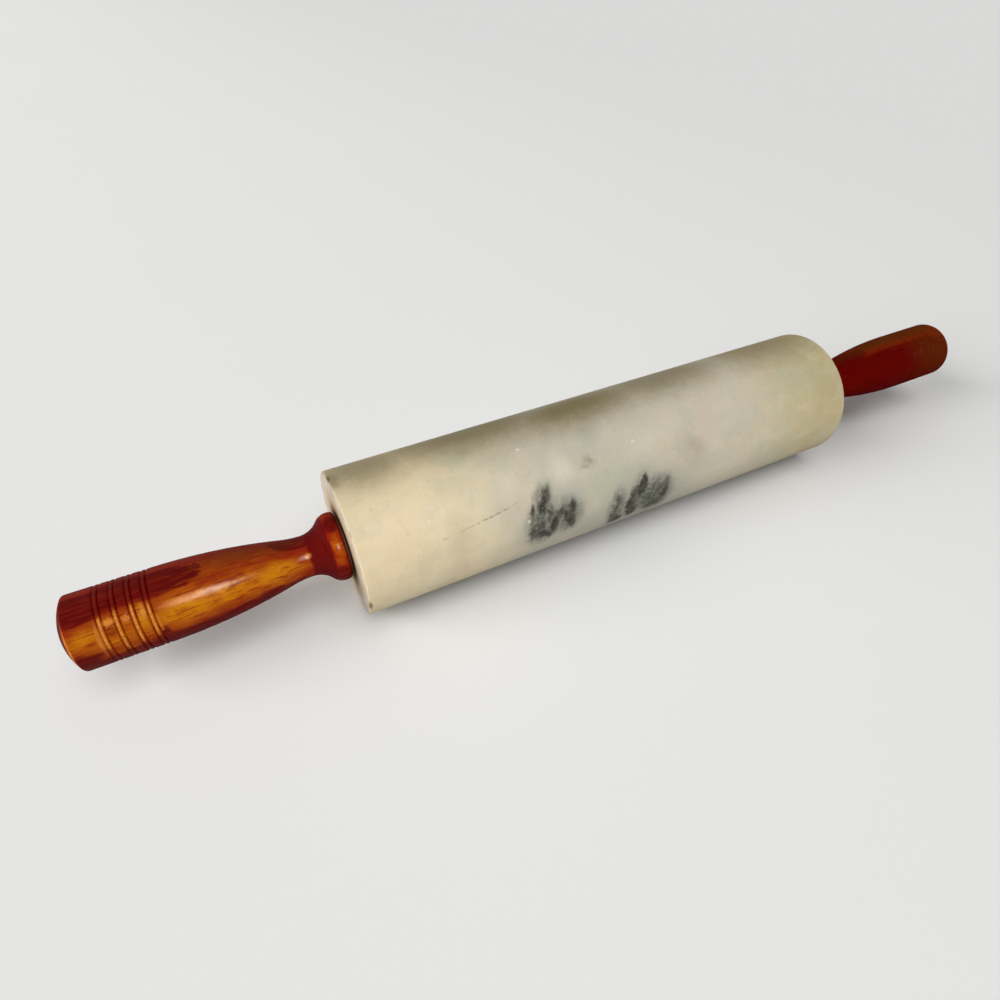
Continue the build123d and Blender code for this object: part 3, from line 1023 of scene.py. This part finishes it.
# Lathe rings a third of a millimetre apart, and a film of dirt in 2 mm spots.
steel_patterns = [(1.0, 0.08, 3.0, 3.0, 0.6), (1.0, 1.0, 0.5, 4.0, 0.6)]


def make_turned_steel(name, dirty_share, pieces):
    """Plain steel from the lathe: fine rings round the axis, under a film of dirt."""
    steel, tree = start_material(name)
    rings, film = add_patterns(tree, add_place(tree), steel_patterns)
    dirty = add_amount(tree, (film[0], 0.75 - dirty_share, 0.85 - dirty_share, 0.0, 0.95))
    surface = add_node(
        tree, "BsdfPrincipled", (),
        {"Base Color": paint_layers(
            tree, steel_bright, (steel_dull, (rings[0], 0.35, 0.65)), (old_oil, dirty)),
         "Metallic": add_amount(tree, (dirty, 0.0, 1.0, 1.0, 0.0)),
         "Roughness": add_amount(tree, (dirty, 0.0, 1.0, 0.34, 0.85))},
    )[0]
    give_material(steel, surface, pieces)


def cad_pieces(kind):
    """The left and the right CAD piece of one kind."""
    return [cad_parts[f"{side_name}_{kind}"] for side_name in turned_handles]


make_turned_steel("turned_steel", 0.12, [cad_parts["axle_rod"]])
make_turned_steel("oiled_steel", 0.8, cad_pieces("thrust_washer"))

# %% Moulded nylon
# The bushings were moulded, so they are smooth, with faint flow marks and a fine spark-worn grain.
# Nylon's IOR is 1.53. Oil from the rod has browned their flanges.
nylon_white, nylon_shade, nylon_oily = linear("DDD6C2"), linear("C9C0A8"), linear("5E2E14")
nylon, tree = start_material("moulded_nylon")
place = add_place(tree)
flow, spark = add_patterns(tree, place, [(1.0, 1.0, 0.3, 3.0, 0.5), (1.0, 1.0, 2.5, 2.0, 0.5)])
from_axis = push_value(tree, add_distance(tree, place), flow, 1.0)
colour = paint_layers(
    tree, nylon_white, (nylon_shade, flow[0]), (nylon_oily, (from_axis, 9.0, 11.0, 0.0, 0.9))
)
bump = add_node(tree, "Bump", (), {"Strength": 0.2, "Distance": 0.05 * MM, "Height": spark[0]})[0]
surface = add_node(
    tree, "BsdfPrincipled", (),
    {"Base Color": colour, "Roughness": 0.45, "IOR": 1.53, "Subsurface Weight": 0.2,
     "Subsurface Radius": (1.0, 0.9, 0.7), "Subsurface Scale": 1 * MM, "Normal": bump},
)[0]
give_material(nylon, surface, cad_pieces("bushing"))

# %% Machined brass
# The inserts were machined from brass rod: tool marks a quarter of a millimetre apart make the gloss
# uneven, and brown tarnish clouds the yellow.
brass_yellow, brass_tarnished = linear("D9B36A"), linear("9A7438")
brass, tree = start_material("machined_brass")
tool_marks, tarnish = add_patterns(
    tree, add_place(tree), [(1.0, 0.1, 4.0, 2.0, 0.5), (1.0, 1.0, 0.4, 4.0, 0.6)]
)
surface = add_node(
    tree, "BsdfPrincipled", (),
    {"Base Color": paint_layers(tree, brass_yellow, (brass_tarnished, (tarnish[0], 0.45, 0.65))),
     "Metallic": 1.0, "Roughness": add_amount(tree, (tool_marks[0], 0.3, 0.7, 0.22, 0.42))},
)[0]
give_material(brass, surface, cad_pieces("threaded_insert"))

# %% [markdown]
# ## Floor
# The pin lies on a plain pale floor. What the camera and the reflections see is near white, with a
# painted falloff of light that makes it a little darker towards the far right. What bounces back onto
# the pin is a mid grey, so that the underside keeps its own shade.

# %% Light path
def add_shown(tree):
    """1 for what is seen directly, in a reflection or through glass, and 0 for bounced light."""
    ray = add_node(tree, "LightPath")
    either = {"operation": "ADD", "use_clamp": True}
    shown = add_node(tree, "Math", either, [ray["Is Camera Ray"], ray["Is Glossy Ray"]])[0]
    return add_node(tree, "Math", either, [shown, ray["Is Transmission Ray"]])[0]


# %% Floor
floor_half = 12.0
floor_corners = [(-1, -1), (1, -1), (1, 1), (-1, 1)]
floor_mesh = bpy.data.meshes.new("floor")
floor_mesh.from_pydata([(x * floor_half, y * floor_half, 0) for x, y in floor_corners], [], [(0, 1, 2, 3)])
floor = bpy.data.objects.new("floor", floor_mesh)
bpy.context.scene.collection.objects.link(floor)

floor_pale, floor_paler, floor_painted_falloff = linear("F0F0EE"), linear("F3F3F1"), linear("E5E5E4")
floor_bounce = linear("9A9A98")
floor_paint, tree = start_material("pale_floor")
floor_place = add_node(tree, "TexCoord")["Object"]
cloudy, = add_patterns(tree, floor_place, [(1.0, 1.0, 2.0, 2.0, 0.55)])
to_far_right = add_node(tree, "VectorMath", {"operation": "DOT_PRODUCT"}, [floor_place, (0.85, 0.1, 0)])
paint = paint_layers(
    tree, floor_pale, (floor_paler, cloudy[0]), (floor_painted_falloff, (to_far_right["Value"], -0.3, 0.7))
)
seen = paint_layers(tree, floor_bounce, (paint, add_shown(tree)))
give_material(floor_paint, add_node(tree, "BsdfDiffuse", inputs=[seen])[0], [floor])

# %% [markdown]
# ## Light
# One soft lamp like a window lights the pin from the front, 40 degrees up. Two very soft suns light
# the floor alone, one high in front and one low at the left, so that it is evenly pale and keeps a
# faint, close shadow of the pin. One sun alone would give it an edge on one side only. Weak lamps
# behind and at both ends keep those sides from going black.

# %% Lamps
pin_middle = (0, 0, 0.03)
left_of_middle = (-0.05, 0, 0.03)


def add_lamp(name, kind, place, aim):
    """A lamp that faces its aim."""
    lamp_data = bpy.data.lights.new(name, kind)
    lamp = bpy.data.objects.new(name, lamp_data)
    lamp.location = place
    lamp.rotation_euler = (Vector(aim) - Vector(place)).to_track_quat("-Z", "Y").to_euler()
    bpy.context.scene.collection.objects.link(lamp)
    return lamp


def light_floor(lamp, state):
    """INCLUDE makes the lamp light the floor alone, and EXCLUDE everything but the floor."""
    receivers = bpy.data.collections.new(f"{lamp.name}_receivers")
    receivers.objects.link(floor)
    lamp.light_linking.receiver_collection = receivers
    receivers.collection_objects[0].light_linking.link_state = state


def add_soft_lamp(name, place, aim, width, height, watts):
    """A rectangular lamp that lights everything but the floor."""
    lamp = add_lamp(name, "AREA", place, aim)
    lamp.data.shape = "RECTANGLE"
    lamp.data.size, lamp.data.size_y = width, height
    lamp.data.energy = watts
    light_floor(lamp, "EXCLUDE")
    return lamp


add_soft_lamp("window_lamp", (-0.123, -0.659, 0.587), left_of_middle, 0.09, 0.08, 6.0)
for name, place, watts in (
    ("back_lamp", (0.1, 1.6, 0.45), 5.5),
    ("left_lamp", (-1.3, 0.15, 0.3), 12.0),
    ("right_lamp", (1.3, 0.15, 0.3), 10.0),
):
    add_soft_lamp(name, place, pin_middle, 0.8, 0.5, watts).visible_glossy = False

for name, place, degrees_wide, power in (
    ("high_sun", (0.0, -0.423, 0.906), 46, 1.2),
    ("left_sun", (-0.927, 0.0, 0.375), 52, 3.7),
):
    sun = add_lamp(name, "SUN", place, (0, 0, 0))
    sun.data.angle = math.radians(degrees_wide)
    sun.data.energy = power
    light_floor(sun, "INCLUDE")

# %% World
# What is seen of the sky is pale, and the light that it sheds is weak.
sky_sheds, sky_looks = 0.1, 0.72
world = bpy.data.worlds.new("studio")
bpy.context.scene.world = world
world.use_nodes = True
tree = world.node_tree
tree.nodes.clear()
strength = add_node(tree, "MapRange", (), [add_shown(tree), 0.0, 1.0, sky_sheds, sky_looks])[0]
background = add_node(tree, "Background", (), {"Color": (1.0, 1.0, 1.0, 1.0), "Strength": strength})[0]
add_node(tree, "OutputWorld", inputs={"Surface": background})
bpy.context.scene.view_settings.view_transform = "Standard"
